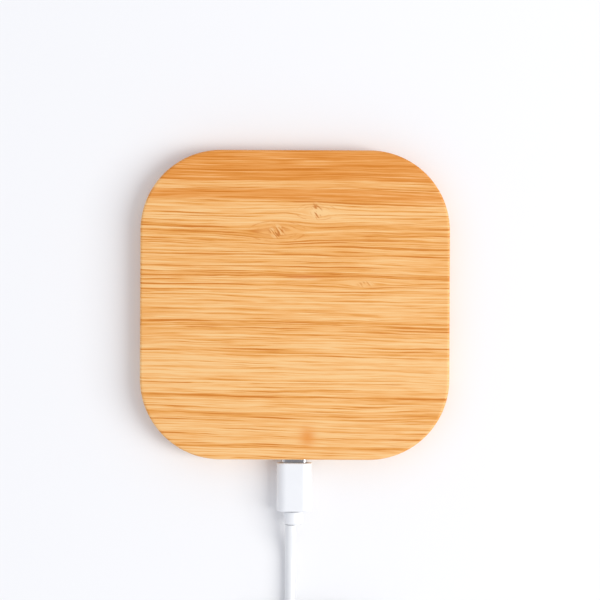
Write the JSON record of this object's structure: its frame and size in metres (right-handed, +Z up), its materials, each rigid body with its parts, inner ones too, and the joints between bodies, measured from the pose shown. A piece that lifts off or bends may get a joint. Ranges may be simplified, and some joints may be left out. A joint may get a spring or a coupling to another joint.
{
  "type": "wireless charging pad",
  "caption": "Flat bamboo wireless charging pad with rounded corners, soft feet, a coil and board inside, and a white USB lead plugged into its side.",
  "frame": {"origin": "middle of the pad's footprint, on the surface it stands on", "axes": "+Z up out of the charging surface; the lead leaves towards -Y; +X to the right when the lead points at the viewer"},
  "size_m": [0.1004, 0.2043, 0.009],
  "materials": {
    "bamboo": "satin, laminated strips with fine fibres along X",
    "cover_plastic": "fine matt texture",
    "foot_rubber": "matt silicone",
    "screw_steel": "zinc plated",
    "connector_steel": "satin nickel",
    "connector_plastic": "moulded black",
    "carrier_plastic": "moulded white",
    "board_laminate": "green solder mask",
    "chip_epoxy": "matt moulded epoxy",
    "capacitor_ceramic": "satin",
    "inductor_ferrite": "matt sintered ferrite",
    "led_resin": "clear yellow resin",
    "light_guide_plastic": "clear moulded",
    "copper_wire": "enamelled copper",
    "lead_sleeve": "woven sleeve",
    "adhesive_film": "matt film",
    "foam": "closed-cell foam",
    "plug_plastic": "satin white moulding",
    "cord_jacket": "smooth white jacket",
    "tie_fabric": "woven hook-and-loop tape"
  },
  "bodies": {
    "pad": {"bamboo_body": "bamboo", "bottom_cover": "cover_plastic", "foot_1": "foot_rubber", "foot_2": "foot_rubber", "foot_3": "foot_rubber", "foot_4": "foot_rubber", "cover_screw_1": "screw_steel", "cover_screw_2": "screw_steel", "cover_screw_3": "screw_steel", "cover_screw_4": "screw_steel", "light_guide": "light_guide_plastic", "circuit_board": "board_laminate", "usb_receptacle_shell": "connector_steel", "usb_receptacle_tongue": "connector_plastic", "charge_controller": "chip_epoxy", "power_driver": "chip_epoxy", "resonant_capacitor_1": "capacitor_ceramic", "resonant_capacitor_2": "capacitor_ceramic", "resonant_capacitor_3": "capacitor_ceramic", "resonant_capacitor_4": "capacitor_ceramic", "power_inductor": "inductor_ferrite", "crystal": "connector_steel", "thermistor": "chip_epoxy", "status_led": "led_resin", "board_screw_1": "screw_steel", "board_screw_2": "screw_steel", "ferrite_plate": "inductor_ferrite", "charging_coil": "copper_wire", "coil_lead_inner": "lead_sleeve", "coil_lead_outer": "lead_sleeve", "coil_film": "adhesive_film", "foam_pad": "foam"},
    "cable": {"plug_shell": "connector_steel", "plug_insulator": "connector_plastic", "plug_overmold": "plug_plastic", "plug_strain_relief": "plug_plastic", "cable_lead": "cord_jacket", "cable_coil": "cord_jacket", "cable_tail": "cord_jacket", "cable_tie": "tie_fabric", "usb_a_strain_relief": "plug_plastic", "usb_a_overmold": "plug_plastic", "usb_a_shell": "connector_steel", "usb_a_insulator": "carrier_plastic"}
  },
  "joints": [
    {"name": "cable_unplug", "type": "slide", "parent": "pad", "child": "cable", "axis": [0, -1, 0], "range_m": [0, 0.012]}
  ]
}
